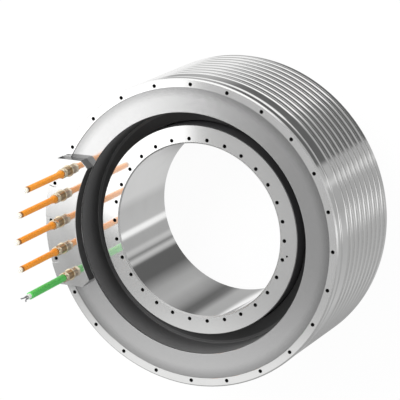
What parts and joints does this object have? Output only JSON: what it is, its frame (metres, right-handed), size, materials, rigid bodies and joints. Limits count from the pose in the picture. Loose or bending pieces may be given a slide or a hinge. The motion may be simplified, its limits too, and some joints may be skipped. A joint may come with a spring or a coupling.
{
  "type": "frameless torque motor",
  "caption": "Ring-shaped frameless torque motor: wound stator in a grooved cooling jacket with a cable block, and a wide-bored magnet rotor with a circle of tapped holes.",
  "frame": {"origin": "on the motor's axis, at the stator's back face", "axes": "+Z along the motor's axis, from the back face to the front where the cables leave; +X from the axis through the middle of the cable block"},
  "size_m": [0.46, 0.4598, 0.3509],
  "materials": {
    "turned_jacket": "fine turned, bright",
    "satin_ring": "satin",
    "potting": "matt black resin",
    "laminations": "stacked sheet",
    "copper": "enamelled copper",
    "wedge_laminate": "glass laminate",
    "gland_nickel": "nickel plated",
    "orange_sleeve": "moulded",
    "orange_cable": "smooth",
    "cream_core": "matt",
    "green_cable": "smooth",
    "white_sheath": "matt",
    "grey_lead": "matt",
    "rotor_steel": "ground, bright",
    "magnet": "plated",
    "spacer_resin": "matt",
    "bandage": "wound fibre and resin"
  },
  "bodies": {
    "stator": {"jacket": "turned_jacket", "front_end_ring": "satin_ring", "front_potting": "potting", "rear_potting": "potting", "stator_core": "laminations", "winding_u": "copper", "winding_v": "copper", "winding_w": "copper", "slot_wedges": "wedge_laminate", "cable_block": "turned_jacket", "cable_glands": "gland_nickel", "cable_sleeves": "orange_sleeve", "power_cable_1": "orange_cable", "power_cable_2": "orange_cable", "power_cable_3": "orange_cable", "power_cable_4": "orange_cable", "power_cores": "cream_core", "sensor_cable": "green_cable", "sensor_sheath": "white_sheath", "sensor_leads": "grey_lead"},
    "rotor": {"rotor_carrier": "rotor_steel", "magnets_north": "magnet", "magnets_south": "magnet", "rear_spacer": "spacer_resin", "front_spacer": "spacer_resin", "bandage": "bandage"}
  },
  "joints": [
    {"name": "rotor_spin", "type": "hinge", "parent": "stator", "child": "rotor", "pos_m": [0, 0, 0.09], "axis": [0, 0, 1], "continuous": true}
  ]
}
